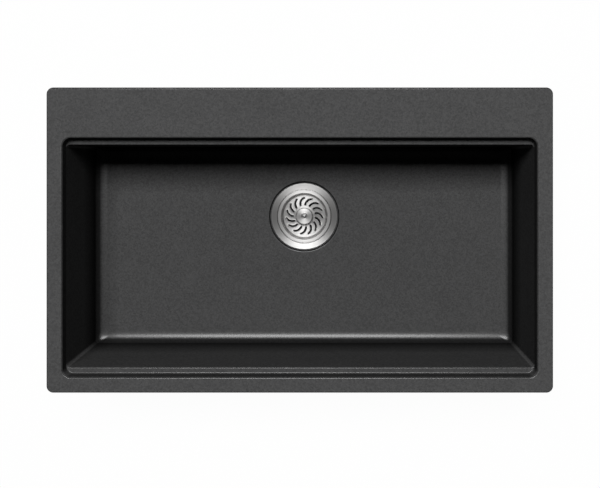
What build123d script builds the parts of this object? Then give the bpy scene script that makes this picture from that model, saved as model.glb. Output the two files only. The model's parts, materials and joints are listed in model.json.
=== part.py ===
from build123d import *
import os
from math import cos, radians, tan

# Drop-in granite composite sink with a basket strainer and swing clips.
# Millimetres, +Z up. The origin is the centre of the rim's outline in the worktop's top plane,
# +X runs along the deck and +Y points from the bowl to the deck.

# Rim and deck
overall_width = 760.0
overall_depth = 458.0
outline_corner_radius = 10.0
rim_thickness = 10.0
rim_edge_radius = 2.0
side_rim = 24.0
front_rim = 24.0
deck_depth = 76.0
opening_corner_radius = 12.0
opening_edge_radius = 3.0

# Ledges for a board or rack, along the front and the back of the opening
ledge_drop = 21.0
ledge_width = 10.0

# Bowl
bowl_depth = 200.0
wall_draft = 1.0
wall_thickness = 9.0
floor_thickness = 10.0
floor_radius = 18.0
bowl_corner_radius = 6.0
floor_fall = 3.0
foot_margin = 0.05
edge_tolerance = 0.01

# Drain seat in the floor
drain_offset = 48.0
recess_radius = 58.5
recess_depth = 4.0
recess_edge_radius = 1.5
recess_margin = 3.0
drain_hole_radius = 45.0
drain_pad_radius = 66.0
drain_pad_height = 3.0

# Scored rings under the deck, to be knocked through for a tap
tap_hole_radius = 17.5
tap_groove_width = 1.5
tap_groove_depth = 5.0
tap_hole_spacing = 140.0
tap_hole_count = 3

# Worktop and rim seal
worktop_thickness = 40.0
seal_thickness = 2.0
seal_width = 8.0
seal_inset = 1.0

# Mounting clips
clip_count = 4
clip_end_distance = 110.0
clip_edge_distance = 17.5
lug_width = 24.0
lug_depth = 12.0
lug_corner_radius = 3.0
lug_height = 36.0
rib_thickness = 8.0
insert_radius = 3.5
insert_length = 12.0
insert_clearance = 0.1
screw_radius = 2.5
screw_clearance = 0.05
screw_grip = 10.0
screw_head_flats = 8.0
screw_head_height = 3.5
washer_radius = 5.0
washer_thickness = 1.2
clip_width = 11.0
clip_length = 42.0
clip_thickness = 2.5
clip_bore_clearance = 0.25
clip_bend_start = 20.0
clip_bend_length = 8.0
clip_toe_rise = 6.0
clip_play = 2.0

# Strainer body
sheet = 1.2
flange_radius = 56.5
flange_edge_radius = 0.5
step_radius = 46.5
step_drop = 1.0
cup_radius = 41.6
cup_corner_radius = 5.0
thread_tail = 4.0
outlet_radius = 23.9
outlet_wall = 3.4
outlet_length = 24.0
outlet_collar_radius = 28.0
outlet_collar_thickness = 2.0

# Strainer seals and nut
flange_seal_thickness = 1.5
flange_seal_inset = 1.0
ring_clearance = 0.4
gasket_radius = 58.0
gasket_thickness = 3.5
friction_washer_radius = 56.0
friction_washer_thickness = 1.5
nut_radius = 52.0
nut_height = 12.0
nut_lug_count = 6
nut_lug_width = 9.0
nut_lug_reach = 5.0

# Basket
basket_rim_radius = 45.7
basket_rim_height = 1.4
basket_rim_rounding = 0.5
basket_sheet = 0.8
basket_mouth_radius = 39.8
basket_floor_radius = 37.4
basket_depth = 12.0
basket_bend_radius = 2.0
slot_count = 15
slot_width = 2.8
slot_turn = 13.0
slot_inner_radius = 19.3
slot_middle_radius = 26.0
slot_outer_radius = 31.0
slot_middle_turn = -6.5
slot_outer_turn = -18.5

# Knob, post and plug
knob_radius = 14.5
knob_neck_radius = 6.5
knob_neck_height = 6.0
knob_head_height = 6.0
knob_rounding = 2.0
knob_dimple_radius = 5.2
knob_dimple_depth = 1.5
post_radius = 3.2
post_clearance = 0.05
pin_radius = 1.7
pin_rounding = 0.9
spigot_radius = 2.6
spigot_length = 10.0
post_nut_flats = 10.0
post_nut_height = 5.0
plug_washer_radius = 14.0
plug_washer_thickness = 1.2
plug_radius = 29.0
plug_top_radius = 16.0
plug_height = 8.0
plug_lip = 2.0
plug_gap = 0.3

# Socket in the outlet
spider_gap = 1.0
spider_ring_width = 1.5
spider_ring_height = 5.0
spider_arm_width = 3.0
spider_arm_count = 3
spider_fit = 0.1
socket_radius = 4.6
socket_wall = 2.6
socket_height = 9.0
tip_clearance = 0.2
tip_tail = 3.0
tip_nose_rounding = 1.5
tip_gap = 0.3

# Levels of the basin
rim_bottom = seal_thickness
rim_top = rim_bottom + rim_thickness
ledge_top = rim_top - ledge_drop
floor_foot = rim_top - bowl_depth
floor_low = floor_foot - floor_fall
floor_bottom = floor_low - floor_thickness
recess_floor = floor_low - recess_depth
pad_bottom = floor_bottom - drain_pad_height

# Plan of the opening and the bowl
opening_width = overall_width - 2 * side_rim
opening_front = -overall_depth / 2 + front_rim
opening_back = overall_depth / 2 - deck_depth
opening_middle = (opening_front + opening_back) / 2
opening_length = opening_back - opening_front
bowl_length = opening_length - 2 * ledge_width
drain_y = opening_middle + drain_offset
tap_hole_y = opening_back + deck_depth / 2

# Levels of the strainer
flange_top = recess_floor + flange_seal_thickness + sheet
rim_seat = flange_top - step_drop
gasket_bottom = pad_bottom - gasket_thickness
friction_washer_bottom = gasket_bottom - friction_washer_thickness
nut_bottom = friction_washer_bottom - nut_height
cup_floor = nut_bottom - thread_tail - cup_corner_radius
cup_underside = cup_floor - sheet
outlet_bottom = cup_floor - outlet_length
outlet_bore = outlet_radius - outlet_wall
cup_outer_radius = cup_radius + sheet

# Levels of the basket
basket_floor = flange_top - basket_depth
knob_top = basket_floor + knob_neck_height + knob_head_height
plug_bottom = cup_floor + plug_gap
plug_top = plug_bottom + plug_height
plug_washer_top = plug_top + plug_washer_thickness
tip_top = plug_bottom - tip_gap
spider_top = cup_floor - spider_gap
socket_bottom = spider_top - socket_height
tip_bottom = socket_bottom - tip_tail

# Levels and places of the clips
lug_bottom = rim_bottom - lug_height
clip_toe_top = -worktop_thickness - clip_play
clip_low = clip_toe_top - clip_toe_rise - clip_thickness
washer_low = clip_low - washer_thickness
clip_spacing = (overall_width - 2 * clip_end_distance) / (clip_count - 1)
clip_positions = [clip_end_distance - overall_width / 2 + clip_spacing * index for index in range(clip_count)]
clip_front_y = -overall_depth / 2 + clip_edge_distance
clip_rear_y = overall_depth / 2 - clip_edge_distance


def rounded_block(width, length, radius, middle_y, low, high):
    """Upright block with rounded vertical corners, centred on X = 0."""
    outline = Pos(0, middle_y, low) * RectangleRounded(width, length, radius)
    return extrude(outline, amount=high - low)


def ring(outer_radius, inner_radius, low, high):
    """Flat ring about the Z axis."""
    return extrude(Pos(0, 0, low) * (Circle(outer_radius) - Circle(inner_radius)), amount=high - low)


def hexagon_bar(across_flats, low, high):
    """Hexagonal bar about the Z axis."""
    corner_radius = across_flats / (2 * cos(radians(30)))
    return extrude(Pos(0, 0, low) * RegularPolygon(corner_radius, 6), amount=high - low)


def disc(radius, low, high):
    """Round bar about the Z axis."""
    return extrude(Pos(0, 0, low) * Circle(radius), amount=high - low)


def outline_face(points, roundings=()):
    """Closed straight-sided outline with some corners rounded, as ((x, y), radius) pairs."""
    face = make_face(Polyline(*points, close=True))
    for corner, radius in roundings:
        nearest = face.vertices().sort_by_distance((*corner, 0))[0]
        face = fillet(nearest, radius)
    return face


def turned(points, roundings=()):
    """Piece turned about the Z axis from a half section of (radius, level) points."""
    return revolve(Plane.XZ * outline_face(points, roundings), axis=Axis.Z)


def bowl_form(width, length, low, floor_rounding, corner_radius):
    """Drafted bowl shape from the ledge down, with a rounded foot on all four sides."""
    drop = ledge_top - low
    inset = drop * tan(radians(wall_draft))
    reach = width + length

    def foot_prism(half, plane):
        high_half = half + foot_margin + inset
        low_half = half + foot_margin - inset
        high = ledge_top + drop
        section = outline_face(
            [(-high_half, high), (high_half, high), (low_half, low), (-low_half, low)],
            [((low_half, low), floor_rounding), ((-low_half, low), floor_rounding)],
        )
        return extrude(plane * section, amount=reach, both=True)

    outline = Pos(0, 0, ledge_top) * RectangleRounded(width, length, corner_radius)
    walls = extrude(outline, amount=-(drop + wall_thickness), taper=wall_draft)
    form = walls & foot_prism(width / 2, Plane.XZ) & foot_prism(length / 2, Plane.YZ)
    return Pos(0, opening_middle, 0) * form


def floor_dish():
    """Shallow fall from the foot of the walls to the round drain seat."""
    inset = (ledge_top - floor_foot) * tan(radians(wall_draft)) + floor_radius
    flat = Rectangle(opening_width - 2 * inset, bowl_length - 2 * inset)
    seat_radius = recess_radius + recess_margin
    quarter = 90
    arcs = [CenterArc((0, 0), seat_radius, quarter * (turn - 1.5), quarter) for turn in range(4)]
    foot = Pos(0, opening_middle, floor_foot) * flat
    seat = Pos(0, drain_y, floor_low) * make_face(arcs)
    return loft([foot, seat], ruled=True)


def clip_lugs():
    """Bosses that take the clip inserts: on the front wall, and ribbed to the back wall."""
    boss = extrude(RectangleRounded(lug_width, lug_depth, lug_corner_radius), amount=lug_height)
    front_wall = opening_middle - bowl_length / 2
    back_wall = opening_middle + bowl_length / 2
    lugs = []
    for x in clip_positions:
        lugs.append(Pos(x, clip_front_y, lug_bottom) * boss)
        lugs.append(Pos(x, clip_rear_y, lug_bottom) * boss)
        spans = (
            (lug_width - 2 * lug_corner_radius, clip_front_y, front_wall - wall_thickness / 2),
            (rib_thickness, back_wall + wall_thickness / 2, clip_rear_y),
        )
        for width, near, far in spans:
            rib = Box(width, far - near, lug_height, align=(Align.CENTER, Align.MIN, Align.MIN))
            lugs.append(Pos(x, near, lug_bottom) * rib)
    return lugs


def clip_places():
    """Axis of every clip screw in the worktop's plane, front row first."""
    return [(x, y) for y in (clip_front_y, clip_rear_y) for x in clip_positions]


def basin_body():
    """Rim, walls, floor, drain pad and clip bosses as one moulding, before it is hollowed."""
    rim = rounded_block(overall_width, overall_depth, outline_corner_radius, 0, rim_bottom, rim_top)
    rim = fillet(rim.edges().group_by(Axis.Z)[-1], rim_edge_radius)
    upper_wall = rounded_block(
        opening_width + 2 * wall_thickness, opening_length + 2 * wall_thickness,
        opening_corner_radius + wall_thickness, opening_middle, ledge_top - wall_thickness, rim_bottom,
    )
    bowl = bowl_form(
        opening_width + 2 * wall_thickness, bowl_length + 2 * wall_thickness, floor_bottom,
        floor_radius + wall_thickness, bowl_corner_radius + wall_thickness,
    )
    pad = Pos(0, drain_y, 0) * disc(drain_pad_radius, pad_bottom, floor_low)
    return rim + [upper_wall, bowl, pad] + clip_lugs()


def opening_edges(basin):
    """Top edges of the opening, told from the rim's outer edges by their place."""
    half_width = (opening_width + side_rim) / 2
    front = opening_front - front_rim / 2
    back = opening_back + deck_depth / 2

    def around_opening(edge):
        middle = edge.center()
        return abs(middle.X) < half_width and front < middle.Y < back

    return basin.faces().sort_by(Axis.Z)[-1].edges().filter_by(around_opening)


def drain_seat_edge(basin):
    """Top edge of the round recess for the strainer's flange."""

    def on_recess(edge):
        same_radius = abs(edge.radius - recess_radius) < edge_tolerance
        return same_radius and abs(edge.center().Z - floor_low) < edge_tolerance

    return basin.edges().filter_by(GeomType.CIRCLE).filter_by(on_recess)


def make_sink_basin():
    pocket = rounded_block(
        opening_width, opening_length, opening_corner_radius, opening_middle, ledge_top, rim_top,
    )
    hollow = bowl_form(opening_width, bowl_length, floor_foot, floor_radius, bowl_corner_radius)
    basin = basin_body() - [pocket, hollow, floor_dish()]
    basin = fillet(opening_edges(basin), opening_edge_radius)
    basin = basin - Pos(0, drain_y, 0) * disc(recess_radius, recess_floor, floor_low)
    basin = fillet(drain_seat_edge(basin), recess_edge_radius)

    cuts = [Pos(0, drain_y, 0) * disc(drain_hole_radius, pad_bottom, floor_low)]
    groove_top = rim_bottom + tap_groove_depth
    groove = ring(tap_hole_radius, tap_hole_radius - tap_groove_width, rim_bottom, groove_top)
    for index in range(tap_hole_count):
        x = (index - (tap_hole_count - 1) / 2) * tap_hole_spacing
        cuts.append(Pos(x, tap_hole_y, 0) * groove)
    hole = disc(insert_radius + insert_clearance, lug_bottom, lug_bottom + insert_length)
    cuts += [Pos(x, y, 0) * hole for x, y in clip_places()]
    return basin - cuts


def make_rim_seal():
    inner_inset = seal_inset + seal_width
    outer = RectangleRounded(
        overall_width - 2 * seal_inset, overall_depth - 2 * seal_inset, outline_corner_radius - seal_inset,
    )
    inner = Rectangle(overall_width - 2 * inner_inset, overall_depth - 2 * inner_inset)
    return extrude(outer - inner, amount=seal_thickness)


def make_clip_inserts():
    insert = ring(insert_radius, screw_radius + screw_clearance, lug_bottom, lug_bottom + insert_length)
    return [Pos(x, y, 0) * insert for x, y in clip_places()]


def make_clip_screws():
    head = hexagon_bar(screw_head_flats, washer_low - screw_head_height, washer_low)
    shank = disc(screw_radius, washer_low, lug_bottom + screw_grip)
    return [Pos(x, y, 0) * (head + shank) for x, y in clip_places()]


def make_clip_washers():
    washer = ring(washer_radius, screw_radius + clip_bore_clearance, washer_low, clip_low)
    return [Pos(x, y, 0) * washer for x, y in clip_places()]


def make_clip(x, y):
    """Bent strip with its pivot hole at the screw, stowed along +X."""
    heel = clip_width / 2
    toe = clip_length - heel
    bend_end = clip_bend_start + clip_bend_length
    side = [
        (-heel, 0), (clip_bend_start, 0), (bend_end, clip_toe_rise), (toe, clip_toe_rise),
        (toe, clip_toe_rise + clip_thickness), (bend_end, clip_toe_rise + clip_thickness),
        (clip_bend_start, clip_thickness), (-heel, clip_thickness),
    ]
    strip = extrude(Plane.XZ * outline_face(side), amount=clip_width / 2, both=True)
    height = clip_toe_rise + clip_thickness
    plan = Circle(heel) + Pos(toe / 2, 0) * Rectangle(toe, clip_width)
    strip = strip & extrude(plan, amount=height)
    strip = strip - disc(screw_radius + clip_bore_clearance, 0, height)
    return Pos(x, y, clip_low) * strip


def make_strainer_body():
    under = rim_seat - sheet
    section = [
        (flange_radius, flange_top), (flange_radius, flange_top - sheet),
        (step_radius + sheet, flange_top - sheet), (step_radius + sheet, under),
        (cup_outer_radius, under), (cup_outer_radius, cup_underside),
        (outlet_bore, cup_underside), (outlet_bore, cup_floor),
        (cup_radius, cup_floor), (cup_radius, rim_seat),
        (step_radius, rim_seat), (step_radius, flange_top),
    ]
    roundings = [
        ((flange_radius, flange_top), flange_edge_radius),
        ((cup_radius, cup_floor), cup_corner_radius),
        ((cup_outer_radius, cup_underside), cup_corner_radius + sheet),
    ]
    return turned(section, roundings)


def make_outlet_pipe():
    collar_bottom = cup_underside - outlet_collar_thickness
    section = [
        (outlet_bore, cup_underside), (outlet_collar_radius, cup_underside),
        (outlet_collar_radius, collar_bottom), (outlet_radius, collar_bottom),
        (outlet_radius, outlet_bottom), (outlet_bore, outlet_bottom),
    ]
    return turned(section)


def make_flange_seal():
    outer = flange_radius - flange_seal_inset
    inner = step_radius + sheet + ring_clearance
    return ring(outer, inner, recess_floor, recess_floor + flange_seal_thickness)


def make_under_gasket():
    return ring(gasket_radius, cup_outer_radius + ring_clearance, gasket_bottom, pad_bottom)


def make_friction_washer():
    inner = cup_outer_radius + ring_clearance
    return ring(friction_washer_radius, inner, friction_washer_bottom, gasket_bottom)


def make_lock_nut():
    inner = cup_outer_radius + ring_clearance
    nut = ring(nut_radius, inner, nut_bottom, friction_washer_bottom)
    reach = nut_radius + nut_lug_reach - inner
    lug = Box(reach, nut_lug_width, nut_height, align=(Align.MIN, Align.CENTER, Align.MIN))
    lug = Pos(inner, 0, nut_bottom) * lug
    lug = lug - disc((inner + nut_radius) / 2, nut_bottom, friction_washer_bottom)
    return nut + [Rot(0, 0, 360 / nut_lug_count * index) * lug for index in range(nut_lug_count)]


def make_socket_spider():
    outer = outlet_bore - spider_fit
    hub_radius = socket_radius + socket_wall
    band = ring(outer, outer - spider_ring_width, spider_top - spider_ring_height, spider_top)
    hub = disc(hub_radius, socket_bottom, spider_top)
    arm_reach = outer - spider_ring_width / 2
    arm = Box(arm_reach, spider_arm_width, spider_ring_height, align=(Align.MIN, Align.CENTER, Align.MAX))
    arm = Pos(0, 0, spider_top) * arm
    arms = [Rot(0, 0, 360 / spider_arm_count * index) * arm for index in range(spider_arm_count)]
    socket = disc(socket_radius, socket_bottom, spider_top)
    return hub + [band] + arms - socket


def swirl_slot():
    """One curved slot of the basket floor, starting on the X axis and sweeping back as it goes out."""
    points = [
        Vector(slot_inner_radius, 0),
        Vector(slot_middle_radius, 0).rotate(Axis.Z, slot_middle_turn),
        Vector(slot_outer_radius, 0).rotate(Axis.Z, slot_outer_turn),
    ]
    return SlotArc(ThreePointArc(*points), slot_width)


def make_basket():
    rim_top_level = rim_seat + basket_rim_height
    mouth_outer = basket_mouth_radius + basket_sheet
    floor_outer = basket_floor_radius + basket_sheet
    bore = post_radius + post_clearance
    section = [
        (basket_rim_radius, rim_seat), (basket_rim_radius, rim_top_level),
        (basket_mouth_radius, rim_top_level), (basket_floor_radius, basket_floor),
        (bore, basket_floor), (bore, basket_floor - basket_sheet),
        (floor_outer, basket_floor - basket_sheet), (mouth_outer, rim_seat),
    ]
    roundings = [
        ((basket_rim_radius, rim_top_level), basket_rim_rounding),
        ((basket_mouth_radius, rim_top_level), basket_rim_rounding),
        ((basket_floor_radius, basket_floor), basket_bend_radius),
        ((floor_outer, basket_floor - basket_sheet), basket_bend_radius + basket_sheet),
    ]
    basket = turned(section, roundings)
    slot = extrude(Pos(0, 0, basket_floor) * swirl_slot(), amount=-basket_sheet)
    return basket - [Rot(0, 0, slot_turn + 360 / slot_count * index) * slot for index in range(slot_count)]


def make_lift_knob():
    bore = post_radius + post_clearance
    head_low = basket_floor + knob_neck_height
    section = [
        (bore, basket_floor), (knob_neck_radius, basket_floor), (knob_neck_radius, head_low),
        (knob_radius, head_low), (knob_radius, knob_top), (knob_dimple_radius, knob_top),
        (knob_dimple_radius, knob_top - knob_dimple_depth), (bore, knob_top - knob_dimple_depth),
    ]
    roundings = [
        ((knob_radius, head_low), knob_rounding),
        ((knob_radius, knob_top), knob_rounding),
    ]
    return turned(section, roundings)


def make_basket_post():
    spigot_bottom = tip_top - spigot_length
    pin_foot = knob_top - knob_dimple_depth
    section = [
        (0, knob_top), (pin_radius, knob_top), (pin_radius, pin_foot), (post_radius, pin_foot),
        (post_radius, plug_bottom), (spigot_radius, plug_bottom), (spigot_radius, spigot_bottom),
        (0, spigot_bottom),
    ]
    return turned(section, [((pin_radius, knob_top), pin_rounding)])


def make_stopper_plug():
    bore = post_radius + post_clearance
    section = [
        (bore, plug_bottom), (plug_radius, plug_bottom), (plug_radius, plug_bottom + plug_lip),
        (plug_top_radius, plug_top), (bore, plug_top),
    ]
    return turned(section)


def make_plug_washer():
    return ring(plug_washer_radius, post_radius + post_clearance, plug_top, plug_washer_top)


def make_post_nut():
    nut_top = plug_washer_top + post_nut_height
    bore = disc(post_radius + post_clearance, plug_washer_top, nut_top)
    return hexagon_bar(post_nut_flats, plug_washer_top, nut_top) - bore


def make_snap_tip():
    bore = spigot_radius + post_clearance
    outer = socket_radius - tip_clearance
    bore_floor = tip_top - spigot_length - tip_gap
    section = [
        (bore, tip_top), (outer, tip_top), (outer, tip_bottom),
        (0, tip_bottom), (0, bore_floor), (bore, bore_floor),
    ]
    return turned(section, [((outer, tip_bottom), tip_nose_rounding)])


def drain_pieces():
    """Pieces turned about the drain's axis."""
    makers = {
        "strainer_body": make_strainer_body,
        "outlet_pipe": make_outlet_pipe,
        "flange_seal": make_flange_seal,
        "under_gasket": make_under_gasket,
        "friction_washer": make_friction_washer,
        "lock_nut": make_lock_nut,
        "socket_spider": make_socket_spider,
        "basket": make_basket,
        "lift_knob": make_lift_knob,
        "basket_post": make_basket_post,
        "stopper_plug": make_stopper_plug,
        "plug_washer": make_plug_washer,
        "post_nut": make_post_nut,
        "snap_tip": make_snap_tip,
    }
    return {name: Pos(0, drain_y, 0) * maker() for name, maker in makers.items()}


def all_pieces():
    pieces = {
        "sink_basin": make_sink_basin(),
        "rim_seal": make_rim_seal(),
        "clip_inserts": Compound(children=make_clip_inserts()),
        "clip_screws": Compound(children=make_clip_screws()),
        "clip_washers": Compound(children=make_clip_washers()),
    }
    for number, x in enumerate(clip_positions, start=1):
        pieces[f"clip_front_{number}"] = make_clip(x, clip_front_y)
        pieces[f"clip_rear_{number}"] = make_clip(x, clip_rear_y)
    pieces.update(drain_pieces())
    return pieces


os.makedirs("parts", exist_ok=True)
for name, piece in all_pieces().items():
    export_step(piece, f"parts/{name}.step")
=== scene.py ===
"""Looks of a drop-in granite composite kitchen sink with its basket strainer, seals and mounting clips."""

import cmath
import json
import math
from collections import namedtuple

import bmesh
import bpy
from bpy.props import FloatProperty, FloatVectorProperty, PointerProperty
from mathutils import Euler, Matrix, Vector
from mathutils.geometry import delaunay_2d_cdt


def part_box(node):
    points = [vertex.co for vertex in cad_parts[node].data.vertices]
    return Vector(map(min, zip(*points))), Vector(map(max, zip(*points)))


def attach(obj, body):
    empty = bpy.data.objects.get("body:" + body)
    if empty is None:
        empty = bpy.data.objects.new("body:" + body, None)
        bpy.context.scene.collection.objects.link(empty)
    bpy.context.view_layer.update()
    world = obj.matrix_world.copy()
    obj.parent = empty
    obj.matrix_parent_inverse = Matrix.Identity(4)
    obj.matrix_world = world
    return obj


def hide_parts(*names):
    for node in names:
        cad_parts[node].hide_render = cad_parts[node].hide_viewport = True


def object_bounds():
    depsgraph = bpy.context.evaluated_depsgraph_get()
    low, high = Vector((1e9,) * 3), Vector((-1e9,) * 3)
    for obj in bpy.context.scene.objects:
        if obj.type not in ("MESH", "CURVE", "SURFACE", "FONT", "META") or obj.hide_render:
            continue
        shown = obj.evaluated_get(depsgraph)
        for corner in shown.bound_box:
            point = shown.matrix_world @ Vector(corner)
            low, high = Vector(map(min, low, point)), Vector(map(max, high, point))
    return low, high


bl_info = {
    "name": "Granite sink",
    "version": (1, 0, 0),
    "blender": (4, 5, 0),
    "location": "View3D > Sidebar > Sink",
    "description": "Builds the visible pieces of a granite composite sink around its CAD model",
    "category": "Add Mesh",
}

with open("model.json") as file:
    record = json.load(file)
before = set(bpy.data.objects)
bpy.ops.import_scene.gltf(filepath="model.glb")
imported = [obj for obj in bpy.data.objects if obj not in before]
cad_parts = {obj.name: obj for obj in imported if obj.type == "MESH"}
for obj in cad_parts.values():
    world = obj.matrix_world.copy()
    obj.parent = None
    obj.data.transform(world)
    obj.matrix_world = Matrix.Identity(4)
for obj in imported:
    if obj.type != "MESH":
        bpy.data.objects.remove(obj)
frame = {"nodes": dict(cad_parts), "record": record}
CAD_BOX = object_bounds()
BODY_OF = {node: body for body, nodes in frame["record"]["behaviour"]["bodies"].items() for node in nodes}
SLOT_OF = {part["node"]: part["material_slot"] for part in frame["record"]["subparts"]}
MM = 0.001

Box = namedtuple("Box", "left front low right back high")
Outline = namedtuple("Outline", "half_width front back radius")


def box_of(node):
    """Box of a CAD node in millimetres."""
    return Box(*(round(value / MM, 3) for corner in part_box(node) for value in corner))


def radius_of(node):
    """Outer radius in millimetres of a CAD node that is turned about the drain's axis."""
    box = box_of(node)
    return (box.right - box.left) / 2


# Basin, in millimetres: the rest follows from the CAD nodes' boxes
WALL_DRAFT = math.radians(1.0)
WALL_THICKNESS = 9.0
FLOOR_THICKNESS = 10.0
FLOOR_FALL = 3.0
OUTER_FOOT_RADIUS = 27.0
LEDGE_DROP = 21.0
LEDGE_WIDTH = 10.0
SIDE_RIM = 24.0
FRONT_RIM = 24.0
DECK_DEPTH = 76.0
RIM_CORNER = 10.0
OPENING_CORNER = 12.0
BOWL_CORNER = 6.0
FOOT_CORNER = 14.0
PAD_HEIGHT = 3.0
PAD_RADIUS = 66.0
DRAIN_HOLE_RADIUS = 45.0
RECESS_RADIUS = 58.5
RECESS_EDGE = 2.5
SEAT_RADIUS = 61.5
TAP_SPACING = 140.0
INTO_RIM = 2.0
INTO_WALL = WALL_THICKNESS / 2

# Strainer, in millimetres
SHEET = 1.2
CUP_RADIUS = 41.6
CUP_CORNER = 5.0
STEP_RADIUS = 46.5
STEP_DROP = 1.0
OUTLET_RADIUS = 23.9
OUTLET_BORE = 20.5
RING_CLEARANCE = 0.4
POST_BORE = 3.25
SCREW_RADIUS = 2.5
SCREW_CLEARANCE = 0.25
PIN_RADIUS = 1.7
DIMPLE_DEPTH = 1.5

# Basket slots: radius in millimetres and angle in degrees of three points on a slot's middle line
SLOT_COUNT = 15
SLOT_TURN = 13.0
SLOT_LINE = ((19.3, 0.0), (26.0, -6.5), (31.0, -18.5))

BASIN_BOX = box_of("sink_basin")
RIM_TOP = BASIN_BOX.high
RIM_BOTTOM = box_of("rim_seal").high
LEDGE_TOP = RIM_TOP - LEDGE_DROP
UPPER_WALL_BOTTOM = LEDGE_TOP - WALL_THICKNESS
PAD_BOTTOM = BASIN_BOX.low
FLOOR_BOTTOM = PAD_BOTTOM + PAD_HEIGHT
FLOOR_LOW = FLOOR_BOTTOM + FLOOR_THICKNESS
FLOOR_FOOT = FLOOR_LOW + FLOOR_FALL
RECESS_FLOOR = box_of("flange_seal").low
LUG_BOTTOM = box_of("clip_inserts").low
BODY_BOX = box_of("strainer_body")
DRAIN = ((BODY_BOX.left + BODY_BOX.right) / 2, (BODY_BOX.front + BODY_BOX.back) / 2)
CLIP_NODES = [node for node in SLOT_OF if node.startswith(("clip_front_", "clip_rear_"))]
CLIP_WIDTH = box_of("clip_front_1").back - box_of("clip_front_1").front
CLIP_PLACES = {
    node: (box_of(node).left + CLIP_WIDTH / 2, box_of(node).front + CLIP_WIDTH / 2) for node in CLIP_NODES
}
TAP_PLACES = [(TAP_SPACING * index, BASIN_BOX.back - DECK_DEPTH / 2) for index in (-1, 0, 1)]

RIM = Outline(BASIN_BOX.right, BASIN_BOX.front, BASIN_BOX.back, RIM_CORNER)
OPENING = Outline(RIM.half_width - SIDE_RIM, RIM.front + FRONT_RIM, RIM.back - DECK_DEPTH, OPENING_CORNER)
BOWL = Outline(OPENING.half_width, OPENING.front + LEDGE_WIDTH, OPENING.back - LEDGE_WIDTH, BOWL_CORNER)

# Points in each loop of a block, by short side, long side and corner
BASIN_STEPS = (20, 36, 10)
BOSS_STEPS = (2, 3, 6)
PLAIN_STEPS = (1, 1, 2)
FOOT_STEPS = 16
SHARP_EDGE = math.radians(38.0)

# Points closer than this, in metres, are one point: as built, and after pieces are joined or cut
BUILT_GAP = 1e-7
JOINED_GAP = 1e-6

# Flat filling: every triangle is made, and points this close, in millimetres, are one point
ALL_TRIANGLES = 0
FLAT_GAP = 1e-6

# What settings of one kind have in common: lengths are in metres and angles in radians
COLOUR = {"subtype": "COLOR", "size": 3, "min": 0.0, "max": 1.0}
SHARE = {"subtype": "FACTOR", "min": 0.0, "max": 1.0}
LENGTH = {"unit": "LENGTH", "precision": 5}
ANGLE = {"subtype": "ANGLE", "max": 1.5}


class BasinSettings(bpy.types.PropertyGroup):
    """Finish, painted light and shade, and small roundings of the granite basin."""

    stone_colour: FloatVectorProperty(
        name="Stone", description="Main colour of the granite composite", default=(0.0707, 0.0707, 0.0712),
        **COLOUR)
    fleck_colour: FloatVectorProperty(
        name="Flecks", description="Colour of the pale quartz grains", default=(0.08, 0.08, 0.08), **COLOUR)
    grain_size: FloatProperty(
        name="Grain", description="Width of the larger grains", min=0.0002, max=0.01, default=0.0024,
        **LENGTH)
    roughness: FloatProperty(name="Roughness", description="How matt the stone is", default=0.5, **SHARE)
    # Painted light and shade: how much paler the stone is painted on faces that look up than on steep faces
    painted_slope_shade: FloatProperty(
        name="Bloom", description="How much paler the faces that look up are", default=0.5, **SHARE)
    polish: FloatProperty(
        name="Polish", description="How much the rounded edges and feet shine", default=0.42, **SHARE)
    polish_roughness: FloatProperty(
        name="Polish roughness", description="How blurred the shine is", default=0.25, **SHARE)
    foot_reach: FloatProperty(
        name="Foot reach", description="How far from the walls the floor starts to rise", min=0.005,
        max=0.04, default=0.0205, **LENGTH)
    foot_height: FloatProperty(
        name="Foot height", description="Height of the rounding at the walls' foot", min=0.005, max=0.04,
        default=0.0105, **LENGTH)
    ledge_edge: FloatProperty(
        name="Ledge edge", description="Rounding of the ledges' inner edge", min=0.0005, max=0.004,
        default=0.002, **LENGTH)
    ledge_root: FloatProperty(
        name="Ledge root", description="Rounding where a ledge meets the wall above", min=0.0005, max=0.004,
        default=0.0025, **LENGTH)
    rim_edge: FloatProperty(
        name="Rim edge", description="Rounding of the rim's outer top edge", min=0.0005, max=0.004,
        default=0.0026, **LENGTH)
    opening_edge: FloatProperty(
        name="Opening edge", description="Rounding of the opening's top edge", min=0.0005, max=0.006,
        default=0.003, **LENGTH)


class SteelSettings(bpy.types.PropertyGroup):
    """Finish of the stainless and plated pieces."""

    brushed_colour: FloatVectorProperty(
        name="Brushed steel", description="Colour of the strainer, basket and knob",
        default=(0.3, 0.297, 0.294), **COLOUR)
    satin_colour: FloatVectorProperty(
        name="Satin steel", description="Colour of the post, nut, washer and outlet",
        default=(0.45, 0.45, 0.45), **COLOUR)
    zinc_colour: FloatVectorProperty(
        name="Zinc", description="Colour of the cast nut", default=(0.5, 0.5, 0.51), **COLOUR)
    plated_colour: FloatVectorProperty(
        name="Plated steel", description="Colour of the clips, screws and washers",
        default=(0.55, 0.56, 0.57), **COLOUR)
    brass_colour: FloatVectorProperty(
        name="Brass", description="Colour of the threaded inserts", default=(0.7, 0.5, 0.2), **COLOUR)
    brushing: FloatProperty(
        name="Brushing", description="Distance between the brush lines", min=0.0001, max=0.002,
        default=0.0006, **LENGTH)
    slot_lip: FloatProperty(
        name="Slot lip", description="Height of the lip along the basket's slots", min=0.0, max=0.0015,
        default=0.0005, **LENGTH)
    pipe_thread: FloatProperty(
        name="Outlet thread", description="Depth of the outlet's thread", min=0.0, max=0.002,
        default=0.0012, **LENGTH)


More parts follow.
